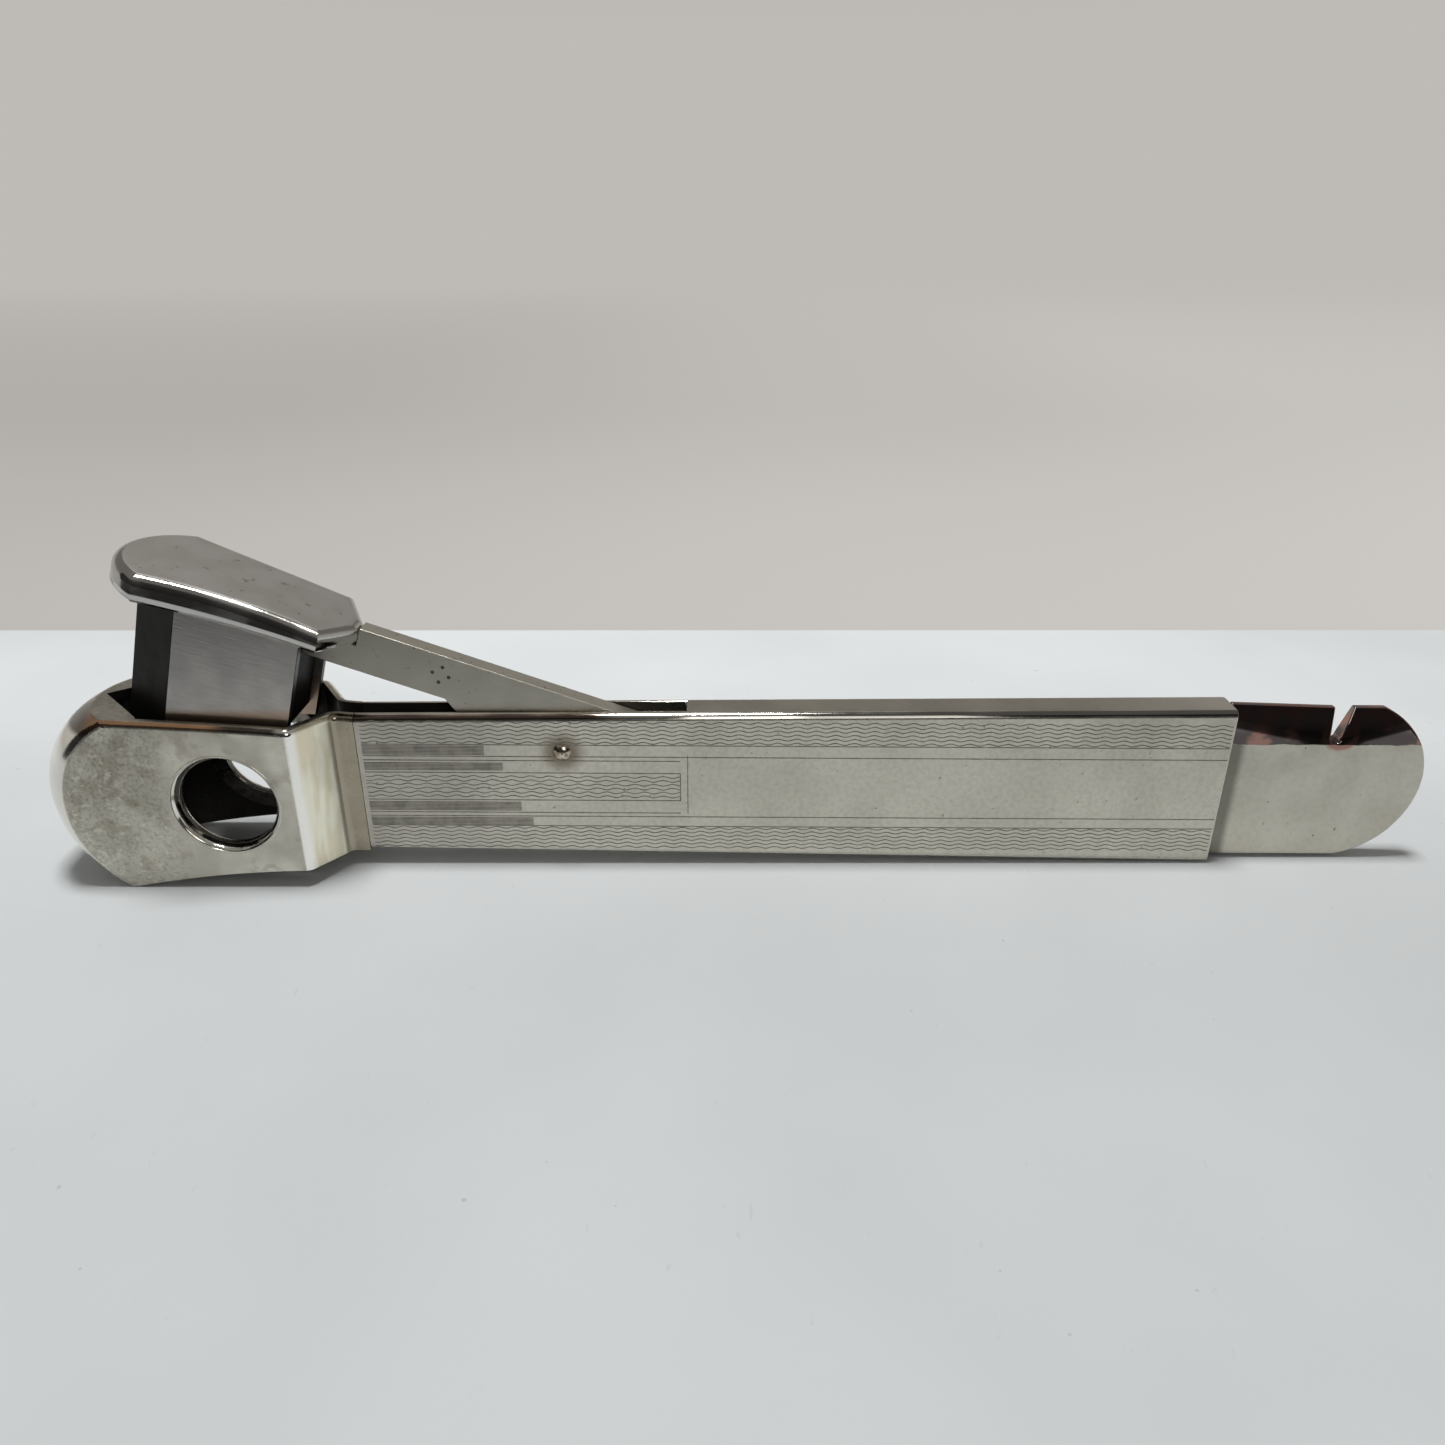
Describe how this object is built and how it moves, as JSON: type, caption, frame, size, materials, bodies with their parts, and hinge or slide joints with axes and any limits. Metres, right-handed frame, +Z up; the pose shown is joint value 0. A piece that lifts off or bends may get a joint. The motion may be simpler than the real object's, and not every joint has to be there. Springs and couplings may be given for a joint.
{
  "type": "lever cigar cutter with box opener",
  "caption": "Metal lever cutter: sprung blade lever over a hollow round-nosed head with a side bore, flat engraved handle, notched pry blade at the far end.",
  "frame": {"origin": "centre of the underside of the bounding box, on the surface that the tool stands on, edge down", "axes": "+X from the cutter head to the box opener, +Y away from the engraved show side, +Z up, with the lever sprung up"},
  "size_m": [0.1498, 0.0152, 0.0364],
  "materials": {
    "nickel_silver_shell": "patinated nickel silver, polished edges",
    "engraved_nickel_silver": "engraved nickel silver, satin with bright edges",
    "polished_steel": "polished hardened steel",
    "plated_steel": "nickel-plated steel, polished",
    "brass_shim": "plain rolled brass shim",
    "polished_rivet": "polished steel rivet",
    "dark_steel": "as-machined dark steel",
    "spring_steel": "blued spring steel",
    "satin_nickel_arm": "satin nickel silver",
    "satin_nickel_pad": "satin top, polished rim",
    "ground_blade_steel": "ground blade steel",
    "dark_blade_steel": "dark hardened steel"
  },
  "bodies": {
    "handle": {"head_shell": "nickel_silver_shell", "handle_sleeve": "engraved_nickel_silver", "near_cutting_ring": "polished_steel", "far_cutting_ring": "polished_steel", "nose_collar": "polished_steel", "opener_blade": "plated_steel", "near_tang_shim": "brass_shim", "far_tang_shim": "brass_shim", "pivot_rivet": "polished_rivet", "near_pivot_washer": "brass_shim", "far_pivot_washer": "brass_shim", "spring_seat": "dark_steel", "leaf_spring": "spring_steel", "stop_block": "dark_steel", "spring_rivet": "dark_steel"},
    "lever": {"lever_arm": "satin_nickel_arm", "thumb_pad": "satin_nickel_pad", "near_blade": "ground_blade_steel", "far_blade": "ground_blade_steel", "notch_blade": "dark_blade_steel", "blade_core": "dark_blade_steel", "blade_rivets": "polished_rivet"}
  },
  "joints": [
    {"name": "lever_hinge", "type": "hinge", "parent": "handle", "child": "lever", "pos_m": [-0.01943, 0, 0.01396], "axis": [0, -1, 0], "range_deg": [0, 17], "stiffness_Nm_per_rad": 0.5, "springref_deg": -14.32, "deforming": ["leaf_spring"]}
  ]
}
